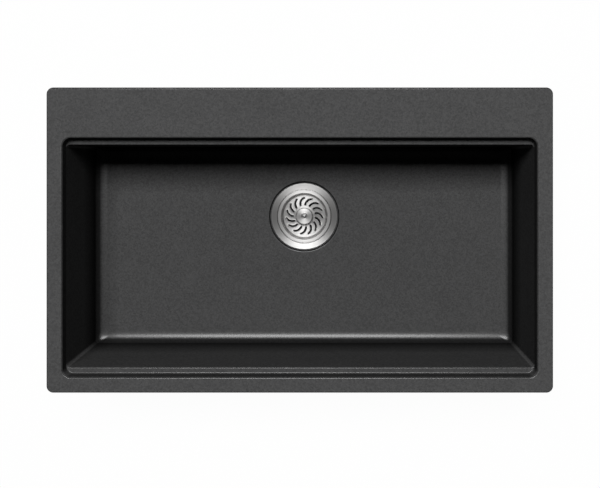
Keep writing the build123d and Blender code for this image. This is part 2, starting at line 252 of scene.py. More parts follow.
class SealSettings(bpy.types.PropertyGroup):
    """Colours of the soft and moulded pieces."""

    rubber_colour: FloatVectorProperty(
        name="Rubber", description="Colour of the gaskets and the stopper", default=(0.03, 0.03, 0.03),
        **COLOUR)
    foam_colour: FloatVectorProperty(
        name="Foam", description="Colour of the tape under the rim", default=(0.09, 0.09, 0.09), **COLOUR)
    fibre_colour: FloatVectorProperty(
        name="Fibre", description="Colour of the friction washer", default=(0.45, 0.2, 0.12), **COLOUR)
    nylon_colour: FloatVectorProperty(
        name="Nylon", description="Colour of the post's snap tip", default=(0.8, 0.79, 0.75), **COLOUR)


class StageSettings(bpy.types.PropertyGroup):
    """Floor, light and camera."""

    floor_colour: FloatVectorProperty(
        name="Floor", description="Colour of the pale floor", default=(0.9, 0.9, 0.9), **COLOUR)
    key_strength: FloatProperty(
        name="Key light", description="Strength of the main light", min=0.0, max=10.0, default=3.3)
    key_distance: FloatProperty(
        name="Distance", description="Distance of the main light from the bowl", min=0.5, max=50.0,
        default=6.0, **LENGTH)
    key_width: FloatProperty(
        name="Width", description="Angle that the main light covers from left to right", min=0.01,
        default=math.radians(24.0), **ANGLE)
    key_depth: FloatProperty(
        name="Depth", description="Angle that the main light covers from front to back", min=0.01,
        default=math.radians(14.5), **ANGLE)
    key_from_back: FloatProperty(
        name="From the back", description="How far the main light leans to the deck's side", min=-1.5,
        default=math.radians(18.4), **ANGLE)
    key_from_left: FloatProperty(
        name="From the left", description="How far the main light leans to the left", min=-1.5,
        default=math.radians(2.5), **ANGLE)
    fill: FloatProperty(
        name="Fill", description="Strength of the soft light from all sides", min=0.0, max=2.0,
        default=0.02)
    camera_height: FloatProperty(
        name="Camera height", description="Height of the camera above the rim", min=0.2, max=10.0,
        default=1.467, **LENGTH)
    view_width: FloatProperty(
        name="View width", description="Width that the picture shows in the rim's plane", min=0.2, max=10.0,
        default=0.8991, **LENGTH)


class Shell:
    """Surface in millimetres, built up from loops of points and the bands of faces between them."""

    def __init__(self, points=(), faces=()):
        self.points = list(points)
        self.faces = list(faces)

    def loop(self, points):
        start = len(self.points)
        self.points.extend(points)
        return list(range(start, len(self.points)))

    def band(self, first, second):
        self.faces.extend(zip(first, first[1:] + first[:1], second[1:] + second[:1], second))

    def strip(self, loops, closed=False):
        for first, second in zip(loops, loops[1:] + (loops[:1] if closed else [])):
            self.band(first, second)

    def cap(self, loop):
        self.faces.append(tuple(loop))

    def fill(self, loops, inside):
        """Flat triangles between an outer loop and the loops of its holes, kept where inside(x, y) holds."""
        indices = [index for loop in loops for index in loop]
        flat = [self.points[index][:2] for index in indices]
        edges = []
        start = 0
        for loop in loops:
            count = len(loop)
            edges += [(start + step, start + (step + 1) % count) for step in range(count)]
            start += count
        _, _, triangles, sources, _, _ = delaunay_2d_cdt(flat, edges, [], ALL_TRIANGLES, FLAT_GAP)
        for triangle in triangles:
            corners = [indices[sources[corner][0]] for corner in triangle]
            x, y = [sum(self.points[corner][axis] for corner in corners) / 3 for axis in (0, 1)]
            if inside(x, y):
                self.faces.append(tuple(corners))

    def joined(self, other):
        """This shell and another one as a single shell."""
        start = len(self.points)
        moved = [tuple(start + corner for corner in face) for face in other.faces]
        return Shell(self.points + other.points, self.faces + moved)

    def copied(self, places):
        """The same shell at several (x, y) places."""
        many = Shell()
        for x, y in places:
            many = many.joined(Shell([(px + x, py + y, pz) for px, py, pz in self.points], self.faces))
        return many


def skin(loops, closed=True):
    """Shell through loops of points, closed on itself like a ring or else capped at both ends."""
    shell = Shell()
    made = [shell.loop(points) for points in loops]
    shell.strip(made, closed)
    if not closed:
        shell.cap(made[0])
        shell.cap(made[-1])
    return shell


def weld(mesh, gap):
    """Joins points that lie closer than a gap, in metres, and turns all faces outward."""
    work = bmesh.new()
    work.from_mesh(mesh)
    bmesh.ops.remove_doubles(work, verts=work.verts, dist=gap)
    bmesh.ops.recalc_face_normals(work, faces=work.faces)
    work.to_mesh(mesh)
    work.free()


def make_object(name, shell):
    """Mesh object of a shell, with outward faces."""
    mesh = bpy.data.meshes.new(name)
    mesh.from_pydata([(x * MM, y * MM, z * MM) for x, y, z in shell.points], [], shell.faces)
    weld(mesh, BUILT_GAP)
    made = bpy.data.objects.new(name, mesh)
    bpy.context.scene.collection.objects.link(made)
    return made


def finish_piece(piece, node):
    """Finishes a piece as its CAD node's slot says, lets it stand for that node and ride on its body."""
    piece.data.materials.clear()
    piece.data.materials.append(finish(SLOT_OF[node]))
    piece.data.shade_smooth()
    piece.data.set_sharp_from_angle(angle=SHARP_EDGE)
    normals = piece.modifiers.new("even_normals", "WEIGHTED_NORMAL")
    normals.keep_sharp = True
    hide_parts(node)
    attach(piece, BODY_OF[node])


def make_piece(name, shell, node):
    finish_piece(make_object(name, shell), node)


def dress_node(node):
    """Gives a CAD node whose shape is right the finish of its slot."""
    mesh = frame["nodes"][node].data
    mesh.materials.clear()
    mesh.materials.append(finish(SLOT_OF[node]))


def combine(piece, tool, operation):
    """Joins a tool mesh to a piece, or cuts it away, and removes the tool."""
    modifier = piece.modifiers.new("combine", "BOOLEAN")
    modifier.operation = operation
    modifier.solver = "EXACT"
    modifier.object = tool
    graph = bpy.context.evaluated_depsgraph_get()
    mesh = bpy.data.meshes.new_from_object(piece.evaluated_get(graph))
    if not mesh.polygons:
        raise RuntimeError(f"{operation} left nothing of {piece.name}")
    weld(mesh, JOINED_GAP)
    piece.modifiers.clear()
    piece.data = mesh
    bpy.data.objects.remove(tool)


def arc(centre, radius, start, end, steps):
    """Points of an arc in a section, as (outward, level) pairs, with angles in degrees."""
    angles = [math.radians(start + (end - start) * step / steps) for step in range(steps + 1)]
    return [(centre[0] + radius * math.cos(angle), centre[1] + radius * math.sin(angle)) for angle in angles]


def rounded_section(corners, steps=5):
    """Points of a closed section from (radius, level, rounding) corners."""
    points = []
    for index, (x, z, rounding) in enumerate(corners):
        if not rounding:
            points.append((x, z))
            continue
        corner = complex(x, z)
        back = complex(*corners[index - 1][:2]) - corner
        ahead = complex(*corners[(index + 1) % len(corners)][:2]) - corner
        back /= abs(back)
        ahead /= abs(ahead)
        half = math.acos(max(-1.0, min(1.0, (back * ahead.conjugate()).real))) / 2
        reach = rounding / math.tan(half)
        middle = back + ahead
        centre = corner + middle / abs(middle) * (rounding / math.sin(half))
        first = cmath.phase(corner + back * reach - centre)
        last = cmath.phase(corner + ahead * reach - centre)
        turn = (last - first + math.pi) % (2 * math.pi) - math.pi
        start, end = math.degrees(first), math.degrees(first + turn)
        points += arc((centre.real, centre.imag), rounding, start, end, steps)
    return points


def polar_loop(angles, radius, level, middle):
    """Points at several angles round an upright axis."""
    return [(middle[0] + radius * math.cos(a), middle[1] + radius * math.sin(a), level) for a in angles]


def circle(radius, level, steps, middle=(0.0, 0.0)):
    return polar_loop([2 * math.pi * step / steps for step in range(steps)], radius, level, middle)


def circles(section, steps, middle=(0.0, 0.0)):
    """Circles about an upright axis through the (radius, level) points of a section."""
    return [circle(radius, level, steps, middle) for radius, level in section]


def thread_loops(radius, high, low, pitch, depth, steps, middle=(0.0, 0.0)):
    """Loops of a screw thread from a high level down to a low one, running out at both ends."""
    rows_per_turn = 8
    flank_slope = 1.6
    flank_start = 0.3
    rows = int((high - low) / pitch * rows_per_turn)
    loops = []
    for row in range(rows + 1):
        level = high - (high - low) * row / rows
        fade = min(1.0, (high - level) / pitch, (level - low) / pitch)
        points = []
        for step in range(steps):
            angle = 2 * math.pi * step / steps
            phase = (level / pitch - step / steps) % 1.0
            groove = min(1.0, max(0.0, flank_slope * abs(2 * phase - 1) - flank_start))
            reach = radius - depth * fade * groove
            points.append((middle[0] + reach * math.cos(angle), middle[1] + reach * math.sin(angle), level))
        loops.append(points)
    return loops


def hexagon_loop(across_flats, limit, level, steps):
    """Hexagon whose corners are cut back to a limiting radius, as on a chamfered nut."""
    points = []
    for step in range(steps):
        angle = 2 * math.pi * step / steps
        reach = min(limit, across_flats / 2 / math.cos(angle % math.radians(60) - math.radians(30)))
        points.append((reach * math.cos(angle), reach * math.sin(angle), level))
    return points


def outline_loop(outline, level, steps=BASIN_STEPS):
    """Points round a rounded rectangle, in the same number and order for every outline."""
    half, front, back, radius = outline
    short_steps, long_steps, corner_steps = steps
    right, left = half - radius, radius - half
    near, far = front + radius, back - radius
    sides = (
        ((half, near), (right, far), short_steps), ((right, back), (left, far), long_steps),
        ((-half, far), (left, near), short_steps), ((left, front), (right, near), long_steps),
    )
    points = []
    for side, ((x, y), centre, count) in enumerate(sides):
        corner = arc(centre, radius, 90.0 * side, 90.0 * (side + 1), corner_steps)[:-1]
        end_x, end_y = corner[0]
        for part in [step / count for step in range(count)]:
            points.append((x + (end_x - x) * part, y + (end_y - y) * part))
        points += corner
    return [(x, y, level) for x, y in points]


def grown(outline, across, along=None, rounding=None):
    """Outline moved outwards at the sides, and by another amount at the front and back if one is given."""
    least_radius = 0.2
    along = across if along is None else along
    rounding = across if rounding is None else rounding
    return Outline(
        outline.half_width + across, outline.front - along, outline.back + along,
        max(least_radius, outline.radius + rounding))


def swept(outline, section, across=1.0, along=1.0, rounding=None):
    """Outlines and levels for a section's (outward, level) points, with shares for the sides and ends."""
    return [
        (grown(outline, across * outward, along * outward, rounding), level) for outward, level in section
    ]


def drafted(outline, levels):
    """Outlines and levels of a wall that leans in below the ledges."""
    lean = math.tan(WALL_DRAFT)
    return [(grown(outline, (level - LEDGE_TOP) * lean, rounding=0.0), level) for level in levels]


def foot_section(floor, reach, height):
    """Inset and level of the points where a drafted wall runs out into the floor, from the floor up."""
    inset = (LEDGE_TOP - floor - height) * math.tan(WALL_DRAFT)
    turns = [math.pi / 2 * step / FOOT_STEPS for step in range(FOOT_STEPS + 1)]
    return [(inset + reach * (1 - math.sin(turn)), floor + height * (1 - math.cos(turn))) for turn in turns]


def inner_outlines(settings):
    """Outlines and levels of the bowl, ledges and opening, from the floor up to the rim's top."""
    edge = settings.ledge_edge / MM
    root = settings.ledge_root / MM
    opening_edge = settings.opening_edge / MM
    ledge_rise = 0.2
    wall_levels = (-160.0, -125.0, -90.0, -55.0, -25.0)
    foot = foot_section(FLOOR_FOOT, settings.foot_reach / MM, settings.foot_height / MM)
    made = [
        (grown(BOWL, -inset, rounding=(FOOT_CORNER - BOWL_CORNER) * (1 - step / FOOT_STEPS)), level)
        for step, (inset, level) in enumerate(foot)
    ]
    made += drafted(BOWL, wall_levels)
    made += swept(BOWL, arc((-edge, LEDGE_TOP - edge), edge, 0.0, 90.0, 6), across=0.0, along=-1.0)
    ledge = arc((LEDGE_WIDTH - root, LEDGE_TOP + ledge_rise + root), root, -90.0, 0.0, 6)
    made += swept(BOWL, ledge, across=0.0, rounding=OPENING_CORNER - BOWL_CORNER)
    made += swept(OPENING, arc((opening_edge, RIM_TOP - opening_edge), opening_edge, 180.0, 90.0, 7))
    return made


def outer_outlines(settings):
    """Outlines and levels of the rim's edge, underside and outer walls, from the top down to the foot."""
    edge = settings.rim_edge / MM
    under_edge = 0.6
    root = 1.5
    step_edge = 2.0
    step_fall = 0.2
    wall_levels = (-40.0, -80.0, -120.0, -160.0)
    upper_wall = grown(OPENING, WALL_THICKNESS)
    bowl = grown(BOWL, WALL_THICKNESS)
    made = swept(RIM, arc((-edge, RIM_TOP - edge), edge, 90.0, 0.0, 6))
    made += swept(RIM, arc((-under_edge, RIM_BOTTOM + under_edge), under_edge, 0.0, -90.0, 3))
    made += swept(upper_wall, arc((root, RIM_BOTTOM - root), root, 90.0, 180.0, 4))
    made += swept(
        upper_wall, arc((-step_edge, UPPER_WALL_BOTTOM + step_edge), step_edge, 0.0, -90.0, 4), across=0.0)
    step_root = arc((step_edge, UPPER_WALL_BOTTOM - step_fall - step_edge), step_edge, 90.0, 180.0, 4)
    for outward, level in step_root:
        across = (level - LEDGE_TOP) * math.tan(WALL_DRAFT)
        made.append((grown(bowl, across, outward + across), level))
    made += drafted(bowl, wall_levels)
    for inset, level in reversed(foot_section(FLOOR_BOTTOM, OUTER_FOOT_RADIUS, OUTER_FOOT_RADIUS)):
        made.append((grown(bowl, -inset, rounding=0.0), level))
    return made


def blended_loops(first, last, count):
    """Loops between two loops of equal length, without the two themselves."""
    loops = []
    for part in [step / (count + 1) for step in range(1, count + 1)]:
        loops.append([
            tuple(a + (b - a) * part for a, b in zip(start, end)) for start, end in zip(first, last)
        ])
    return loops


def basin_shell(settings):
    """The whole moulding as one closed skin: drain seat, floor, walls, rim, outer walls and underside."""
    lip = 0.6
    root = 0.8
    floor_rings = 6
    under_rings = 5
    inner = [outline_loop(outline, level) for outline, level in inner_outlines(settings)]
    outer = [outline_loop(outline, level) for outline, level in outer_outlines(settings)]
    angles = [math.atan2(y - DRAIN[1], x - DRAIN[0]) for x, y, _ in inner[0]]
    seat_section = arc((DRAIN_HOLE_RADIUS + lip, RECESS_FLOOR - lip), lip, 180.0, 90.0, 3)
    seat_section += arc((RECESS_RADIUS - root, RECESS_FLOOR + root), root, -90.0, 0.0, 3)
    seat_section += arc((RECESS_RADIUS + RECESS_EDGE, FLOOR_LOW - RECESS_EDGE), RECESS_EDGE, 180.0, 90.0, 6)
    seat_section.append((SEAT_RADIUS, FLOOR_LOW))
    pad_section = arc((PAD_RADIUS + root, FLOOR_BOTTOM - root), root, 90.0, 180.0, 3)
    pad_section += arc((PAD_RADIUS - lip, PAD_BOTTOM + lip), lip, 0.0, -90.0, 3)
    pad_section += arc((DRAIN_HOLE_RADIUS + lip, PAD_BOTTOM + lip), lip, -90.0, -180.0, 3)
    seat = [polar_loop(angles, radius, level, DRAIN) for radius, level in seat_section]
    pad = [polar_loop(angles, radius, level, DRAIN) for radius, level in pad_section]
    floor = blended_loops(seat[-1], inner[0], floor_rings)
    underside = blended_loops(outer[-1], pad[0], under_rings)
    return skin(seat + floor + inner + outer + underside + pad)


def block(outline, low, high, edge, steps):
    """Upright block with a rounded plan and rounded lower edges."""
    section = arc((-edge, low + edge), edge, -90.0, 0.0, 4) + [(0.0, high)]
    return skin([outline_loop(each, level, steps) for each, level in swept(outline, section)], closed=False)


def boss_shell():
    """Bosses for the clips, before they are joined to the basin."""
    half_width = 12.0
    half_depth = 6.0
    corner = 3.0
    edge = 1.0
    plan = Outline(half_width, -half_depth, half_depth, corner)
    return block(plan, LUG_BOTTOM, RIM_BOTTOM + INTO_RIM, edge, BOSS_STEPS).copied(CLIP_PLACES.values())


def rib_shell():
    """Ribs between the bosses and the walls, before they are joined to the basin."""
    front_half_width = 9.0
    rear_half_width = 4.0
    corner = 0.5
    edge = 0.8
    above_boss = 0.3
    ribs = Shell()
    for x, y in CLIP_PLACES.values():
        plan = Outline(front_half_width, y, BOWL.front - INTO_WALL, corner)
        if y > 0:
            plan = Outline(rear_half_width, BOWL.back + INTO_WALL, y, corner)
        rib = block(plan, LUG_BOTTOM + above_boss, RIM_BOTTOM + INTO_RIM, edge, PLAIN_STEPS)
        ribs = ribs.joined(rib.copied([(x, 0.0)]))
    return ribs


def opening_shell():
    """Block that keeps bosses and ribs out of the opening above the ledges."""
    corner = 1.0
    edge = 0.1
    clear = Outline(OPENING.half_width, OPENING.front - INTO_WALL, OPENING.back + INTO_WALL, corner)
    return block(clear, (LEDGE_TOP + UPPER_WALL_BOTTOM) / 2, RIM_TOP, edge, PLAIN_STEPS)


def basin_cutter_shell():
    """Insert holes in the bosses and scored tap rings under the deck."""
    insert = box_of("clip_inserts")
    hole_radius = 3.6
    ring_outer = 17.5
    ring_inner = 16.0
    ring_depth = 5.0
    past = 1.0
    hole_section = [(hole_radius, insert.low - past), (hole_radius, insert.high)]
    hole = skin(circles(hole_section, steps=32), closed=False)
    low = RIM_BOTTOM - past
    high = RIM_BOTTOM + ring_depth
    groove_section = [(ring_inner, low), (ring_outer, low), (ring_outer, high), (ring_inner, high)]
    groove = skin(circles(groove_section, steps=64))
    return hole.copied(CLIP_PLACES.values()).joined(groove.copied(TAP_PLACES))


def ring_section(node, outer, inner, edge, steps):
    """Section of a flat ring that is as thick as its CAD node."""
    box = box_of(node)
    corners = ((inner, box.low), (outer, box.low), (outer, box.high), (inner, box.high))
    return rounded_section([(radius, level, edge) for radius, level in corners], steps)


def ring_shell(node, inner, edge, steps=128):
    """Flat ring about the drain's axis, as thick and wide as its CAD node."""
    return skin(circles(ring_section(node, radius_of(node), inner, edge, steps=3), steps, DRAIN))


def fixing_ring_shell(node, outer, inner, edge):
    """Small rings at all the clips: washers or inserts."""
    section = ring_section(node, outer, inner, edge, steps=2)
    return skin(circles(section, steps=40)).copied(CLIP_PLACES.values())


def strainer_shell():
    """Flange, step for the basket's rim, and cup with a rolled thread outside."""
    box = BODY_BOX
    flange = radius_of("strainer_body")
    cup_outer = CUP_RADIUS + SHEET
    step_outer = STEP_RADIUS + SHEET
    seat = box.high - STEP_DROP
    cup_floor = box.low + SHEET
    dish = 0.85
    groove_width = 1.5
    groove_depth = 0.7
    groove_edge = 0.1
    fold = 0.3
    thread_pitch = 2.0
    thread_depth = 0.7
    steps = 128
    section = rounded_section([
        (cup_outer, seat - SHEET, fold), (step_outer, seat - SHEET, fold),
        (step_outer, box.high - SHEET, fold), (flange, box.high - SHEET, fold),
        (flange, box.high, 0.7), (STEP_RADIUS, box.high - dish, 0.2),
        (STEP_RADIUS - groove_width / 2, seat - groove_depth, groove_edge),
        (STEP_RADIUS - groove_width, seat, groove_edge), (CUP_RADIUS, seat, 0.8),
        (CUP_RADIUS, cup_floor, CUP_CORNER), (OUTLET_BORE, cup_floor, 0.5),
        (OUTLET_BORE, box.low, 0.0), (cup_outer, box.low, CUP_CORNER + SHEET),
    ])
    thread_top = box_of("under_gasket").high
    thread_low = box.low + CUP_CORNER + SHEET
    thread = thread_loops(cup_outer, thread_top, thread_low, thread_pitch, thread_depth, steps, DRAIN)
    return skin(circles(section, steps, DRAIN) + thread[::-1])


def outlet_shell(settings):
    """Collar and threaded pipe under the strainer's cup."""
    box = box_of("outlet_pipe")
    collar = radius_of("outlet_pipe")
    collar_height = 2.0
    collar_low = box.high - collar_height
    collar_edge = 0.5
    root = 0.8
    end_edge = 1.0
    bore_edge = 0.4
    pitch = 2.309
    steps = 96
    top = [(OUTLET_BORE, box.high), (collar, box.high)]
    top += arc((collar - collar_edge, collar_low + collar_edge), collar_edge, 0.0, -90.0, 3)
    top += arc((OUTLET_RADIUS + root, collar_low - root), root, 90.0, 180.0, 3)
    thread_low = box.low + end_edge
    thread = thread_loops(
        OUTLET_RADIUS, collar_low - pitch, thread_low, pitch, settings.pipe_thread / MM, steps, DRAIN)
    end = [
        (OUTLET_RADIUS - end_edge, box.low), (OUTLET_BORE + bore_edge, box.low),
        (OUTLET_BORE, box.low + bore_edge),
    ]
    return skin(circles(top, steps, DRAIN) + thread + circles(end, steps, DRAIN))


def nut_outline(radius, reach, half_width, inset):
    """Points round a ring nut with six lugs, moved in by an inset."""
    lugs = 6
    corner = 1.2
    round_points = 10
    ring = radius - inset
    tip = reach - inset
    half = half_width - inset
    root = math.sqrt(ring * ring - half * half)
    root_angle = math.atan2(half, root)
    gap = 2 * math.pi / lugs - 2 * root_angle
    lug = [(root, -half)]
    lug += arc((tip - corner, corner - half), corner, -90.0, 0.0, 4)
    lug += arc((tip - corner, half - corner), corner, 0.0, 90.0, 4)
    for step in range(round_points):
        angle = root_angle + gap * step / round_points
        lug.append((ring * math.cos(angle), ring * math.sin(angle)))
    points = []
    for index in range(lugs):
        turn = cmath.rect(1.0, 2 * math.pi * index / lugs)
        turned = [complex(x, y) * turn for x, y in lug]
        points += [(point.real, point.imag) for point in turned]
    return points


def lock_nut_shell():
    """Cast ring nut with six lugs for a spanner."""
    box = box_of("lock_nut")
    ring_radius = 52.0
    lug_half_width = 4.5
    sizes = (ring_radius, radius_of("lock_nut"), lug_half_width)
    inner = CUP_RADIUS + SHEET + RING_CLEARANCE
    edge = 0.8
    profile = arc((edge, box.low + edge), edge, 270.0, 180.0, 3)
    profile += arc((edge, box.high - edge), edge, 180.0, 90.0, 3)
    loops = []
    for inset, level in profile:
        loops.append([(DRAIN[0] + x, DRAIN[1] + y, level) for x, y in nut_outline(*sizes, inset)])
    angles = [math.atan2(y, x) for x, y in nut_outline(*sizes, inset=0.0)]
    return skin(loops + [polar_loop(angles, inner, level, DRAIN) for level in (box.high, box.low)])


def slot_outline(index, half_width):
    """Points round one curved slot of the basket, a half width away from its middle line."""
    turn = SLOT_TURN + 360.0 / SLOT_COUNT * index
    a, b, c = [cmath.rect(radius, math.radians(angle + turn)) for radius, angle in SLOT_LINE]
    across = abs(a) ** 2 * (b - c) + abs(b) ** 2 * (c - a) + abs(c) ** 2 * (a - b)
    centre = across / (a.conjugate() * (b - c) + b.conjugate() * (c - a) + c.conjugate() * (a - b))
    middle = (centre.real, centre.imag)
    radius = abs(a - centre)
    first = math.degrees(cmath.phase(a - centre))
    last = math.degrees(cmath.phase(c - centre))
    sweep = (last - first + 180.0) % 360.0 - 180.0
    side = math.copysign(180.0, sweep)
    points = arc(middle, radius + half_width, first, first + sweep, 10)
    points += arc((c.real, c.imag), half_width, last, last + side, 6)[1:-1]
    points += arc(middle, radius - half_width, first + sweep, first, 10)
    points += arc((a.real, a.imag), half_width, first + side, first + 2 * side, 6)[1:-1]
    return points


def within(outline, x, y):
    """Whether a point lies inside a closed outline."""
    inside = False
    for (ax, ay), (bx, by) in zip(outline, outline[1:] + outline[:1]):
        if (ay > y) != (by > y) and x < ax + (bx - ax) * (y - ay) / (by - ay):
            inside = not inside
    return inside


def basket_shell(settings):
    """Pressed basket with a rolled rim and fifteen slots, each with a lip raised on its outer side."""
    box = box_of("basket")
    rim_inset = 0.6
    rim_height = 1.4
    sheet = 0.8
    mouth = 39.8
    floor_radius = 37.4
    bend = 4.4
    half_slot = 1.4
    outer_side = 12
    inner_share = 0.35
    lip_section = ((0.0, 0.75), (0.3, 1.0), (0.6, 0.7), (0.95, 0.0))
    rim = radius_of("basket") - rim_inset
    seat = box.high - rim_height
    floor = box.low + sheet
    lip = settings.slot_lip / MM
    section = rounded_section([
        (POST_BORE, floor, 0.0), (floor_radius, floor, bend), (mouth, box.high, 0.6), (rim, box.high, 0.65),
        (rim, seat, 0.5), (mouth + sheet, seat, 0.3), (floor_radius + sheet, box.low, bend + sheet),
        (POST_BORE, box.low, 0.0),
    ])
    shell = Shell()
    loops = [shell.loop(points) for points in circles(section, steps=120)]
    bore_top, bore_low = loops[0], loops[-1]
    shell.strip(loops[1:-1])
    shell.band(bore_low, bore_top)
    top_loops = []
    low_loops = []
    for index in range(SLOT_COUNT):
        rings = []
        for outward, share in lip_section:
            raised = []
            points = slot_outline(index, half_slot + outward)
            for step, (x, y) in enumerate(points):
                on_outer_side = step < outer_side or step > len(points) - 3
                raised.append((x, y, floor + lip * share * (1.0 if on_outer_side else inner_share)))
            rings.append(shell.loop(raised))
        shell.strip(rings)
        low_edge = shell.loop([(x, y, box.low) for x, y in slot_outline(index, half_slot)])
        shell.band(low_edge, rings[0])
        top_loops.append(rings[-1])
        low_loops.append(low_edge)

    def clear_of(half_width):
        slots = [slot_outline(index, half_width) for index in range(SLOT_COUNT)]
        return lambda x, y: math.hypot(x, y) > POST_BORE and not any(within(slot, x, y) for slot in slots)

    shell.fill([loops[1], bore_top] + top_loops, clear_of(half_slot + lip_section[-1][0]))
    shell.fill([loops[-2], bore_low] + low_loops, clear_of(half_slot))
    return shell.copied([DRAIN])


def knob_shell():
    """Round knob with a slightly domed top and a dimple where the post ends."""
    box = box_of("lift_knob")
    radius = radius_of("lift_knob")
    neck = 6.5
    neck_height = 6.0
    head_low = box.low + neck_height
    dimple = 5.4
    dome = 0.9
    floor = box.high - DIMPLE_DEPTH
    floor_edge = 0.2
    section = rounded_section([
        (POST_BORE, box.low, 0.0), (neck, box.low, 0.0), (neck, head_low, 1.0), (radius, head_low, 1.8),
        (radius, box.high - dome, 2.4), (dimple, box.high, 0.4), (POST_BORE + floor_edge, floor, floor_edge),
        (POST_BORE, floor, 0.0),
    ])
    return skin(circles(section, steps=96, middle=DRAIN))


def post_shell():
    """Post from the knob's dimple down to the spigot for the tip."""
    box = box_of("basket_post")
    radius = radius_of("basket_post")
    spigot = 2.6
    chamfer = 0.3
    shoulder = box_of("stopper_plug").low
    tip = 0.9
    section = arc((PIN_RADIUS - tip, box.high - tip), tip, 90.0, 0.0, 6)
    section += [
        (radius, box.high - DIMPLE_DEPTH), (radius, shoulder), (spigot, shoulder),
        (spigot, box.low + chamfer), (spigot - chamfer, box.low),
    ]
    return skin(circles(section, steps=48, middle=DRAIN), closed=False)


def post_nut_shell():
    """Hexagon nut with chamfered corners."""
    box = box_of("post_nut")
    flats = box.back - box.front
    chamfer = 0.6
    steps = 72
    sections = (
        (box.low, flats / 2), (box.low + chamfer, flats), (box.high - chamfer, flats), (box.high, flats / 2))
    loops = [circle(POST_BORE, box.low, steps)]
    loops += [hexagon_loop(flats, limit, level, steps) for level, limit in sections]
    loops.append(circle(POST_BORE, box.high, steps))
    return skin(loops).copied([DRAIN])


def stopper_shell():
    """Rubber plug with a lip at its foot."""
    box = box_of("stopper_plug")
    radius = radius_of("stopper_plug")
    top = 16.0
    top_edge = 1.5
    lip_height = 2.0
    lip_edge = 0.7
    section = rounded_section([
        (POST_BORE, box.low, 0.0), (radius, box.low, lip_edge), (radius, box.low + lip_height, lip_edge),
        (top, box.high, top_edge), (POST_BORE, box.high, 0.0),
    ])
    return skin(circles(section, steps=96, middle=DRAIN))


def tip_shell():
    """Nylon tip pressed on the post's spigot."""
    box = box_of("snap_tip")
    radius = radius_of("snap_tip")
    bore = 2.65
    nose = 1.5
    chamfer = 0.3
    end_play = 0.3
    bore_floor = box_of("basket_post").low - end_play
    section = arc((radius - nose, box.low + nose), nose, -90.0, 0.0, 5)
    section += [
        (radius, box.high - chamfer), (radius - chamfer, box.high), (bore, box.high), (bore, bore_floor),
    ]
    return skin(circles(section, steps=48, middle=DRAIN), closed=False)


def clip_shell(node):
    """Bent strip with a round heel about its screw and a toothed toe."""
    box = box_of(node)
    heel = CLIP_WIDTH / 2
    toe = box.right - box.left - heel
    thickness = 2.5
    bend_start = 19.0
    bend_end = 29.0
    rise = box.high - box.low - thickness
    bore = SCREW_RADIUS + SCREW_CLEARANCE
    bore_steps = 32
    bore_share = 0.99
    heel_steps = 16
    teeth = 4
    tooth_depth = 0.9
    edge = 0.4
    spans = 22
    stations = [toe * step / spans for step in range(1, spans)]

    def bent(x):
        part = min(1.0, max(0.0, (x - bend_start) / (bend_end - bend_start)))
        return rise * part * part * (3 - 2 * part)

    def plan(inset):
        half = heel - inset
        points = arc((0.0, 0.0), half, 90.0, 270.0, heel_steps)
        points += [(x, -half) for x in stations]
        for step in range(2 * teeth + 1):
            depth = tooth_depth if step % 2 else 0.0
            points.append((toe - inset - depth, half * (step / teeth - 1)))
        points += [(x, half) for x in reversed(stations)]
        return points

    def on_strip(x, y):
        return math.hypot(x, y) > bore * bore_share and within(outline, x, y)

    outline = plan(edge)
    shell = Shell()
    loops = []
    for inset, level in ((edge, 0.0), (0.0, edge), (0.0, thickness - edge), (edge, thickness)):
        loops.append(shell.loop([(x, y, box.low + level + bent(x)) for x, y in plan(inset)]))
    shell.strip(loops)
    bore_low = shell.loop(circle(bore, box.low, bore_steps))
    bore_high = shell.loop(circle(bore, box.low + thickness, bore_steps))
    shell.band(bore_low, bore_high)
    shell.fill([loops[0], bore_low], on_strip)
    shell.fill([loops[-1], bore_high], on_strip)
    return shell.copied([CLIP_PLACES[node]])


def screw_shell():
    """Hexagon screws with a chamfered head and a metric thread, one at each clip."""
    box = box_of("clip_screws")
    flats = 8.0
    head_top = box_of("clip_washers").low
    chamfer = 0.5
    end_reach = flats * 0.47
    collar = 0.3
    collar_reach = flats * 0.52
    pitch = 0.8
    depth = 0.45
    steps = 48
    head = (
        (box.low, end_reach), (box.low + chamfer, flats),
        (head_top - collar, flats), (head_top, collar_reach),
    )
    loops = [hexagon_loop(flats, limit, level, steps) for level, limit in head]
    loops += thread_loops(SCREW_RADIUS, box.high - chamfer, head_top, pitch, depth, steps)[::-1]
    loops.append(circle(SCREW_RADIUS - chamfer, box.high, steps))
    return skin(loops, closed=False).copied(CLIP_PLACES.values())


